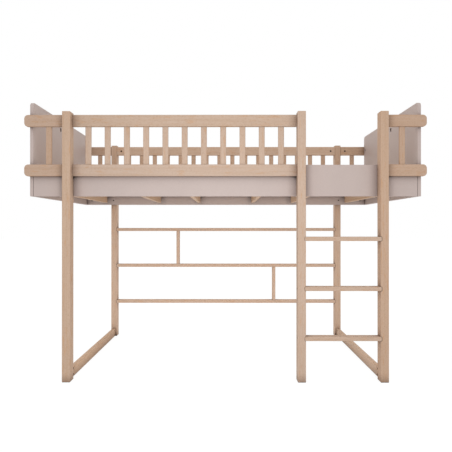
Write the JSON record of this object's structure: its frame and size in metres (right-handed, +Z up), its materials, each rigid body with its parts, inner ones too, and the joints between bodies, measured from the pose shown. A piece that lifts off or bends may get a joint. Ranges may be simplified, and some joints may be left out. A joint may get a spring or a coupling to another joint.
{
  "type": "loft bed",
  "caption": "Raised single loft bed: beech posts, rails and ladder, slatted guard rails, painted side boards and end panels, wall bars behind.",
  "frame": {"origin": "on the floor, under the middle of the bed", "axes": "+X along the bed towards the ladder end, +Y across it towards the wall side, +Z up; the ladder is on the -Y side"},
  "size_m": [2.106, 1.0706, 1.458],
  "materials": {
    "beech": "fine pale beech with a matt clear lacquer",
    "painted_board": "smooth satin paint, rose-grey, on board",
    "birch_plywood": "sanded birch plywood, unlacquered",
    "zinc_plated_steel": "zinc-plated steel of the bolts, barrel nuts and cam locks"
  },
  "bodies": {
    "root": {"back_ledger": "beech", "back_left_post": "beech", "back_lower_rail": "beech", "back_lower_rail_left_end": "beech", "back_lower_rail_right_end": "beech", "back_right_post": "beech", "back_side_board": "painted_board", "back_upper_rail": "beech", "back_upper_rail_left_end": "beech", "back_upper_rail_right_end": "beech", "base_bearer_left_left": "beech", "base_bearer_left_right": "beech", "base_bearer_middle_left": "beech", "base_bearer_middle_right": "beech", "base_bearer_right_left": "beech", "base_bearer_right_right": "beech", "base_plate_left": "birch_plywood", "base_plate_middle": "birch_plywood", "base_plate_right": "birch_plywood", "end_baluster_back_left": "beech", "end_baluster_back_right": "beech", "end_baluster_front_left": "beech", "end_baluster_front_right": "beech", "end_panel_left": "painted_board", "end_panel_right": "painted_board", "foot_stretcher_left": "beech", "foot_stretcher_right": "beech", "front_baluster_01": "beech", "front_baluster_02": "beech", "front_baluster_03": "beech", "front_baluster_04": "beech", "front_baluster_05": "beech", "front_baluster_06": "beech", "front_baluster_07": "beech", "front_baluster_08": "beech", "front_baluster_09": "beech", "front_baluster_10": "beech", "front_baluster_11": "beech", "front_ledger": "beech", "front_left_post": "beech", "front_lower_rail": "beech", "front_lower_rail_left_end": "beech", "front_lower_rail_right_end": "beech", "front_middle_post": "beech", "front_right_post": "beech", "front_side_board": "painted_board", "front_upper_rail": "beech", "front_upper_rail_left_end": "beech", "front_upper_rail_right_end": "beech", "ladder_rung_bottom": "beech", "ladder_rung_middle": "beech", "ladder_rung_top": "beech", "wall_bar_bottom": "beech", "wall_bar_middle": "beech", "wall_bar_top": "beech", "wall_divider_lower": "beech", "wall_divider_upper": "beech"}
  },
  "joints": []
}
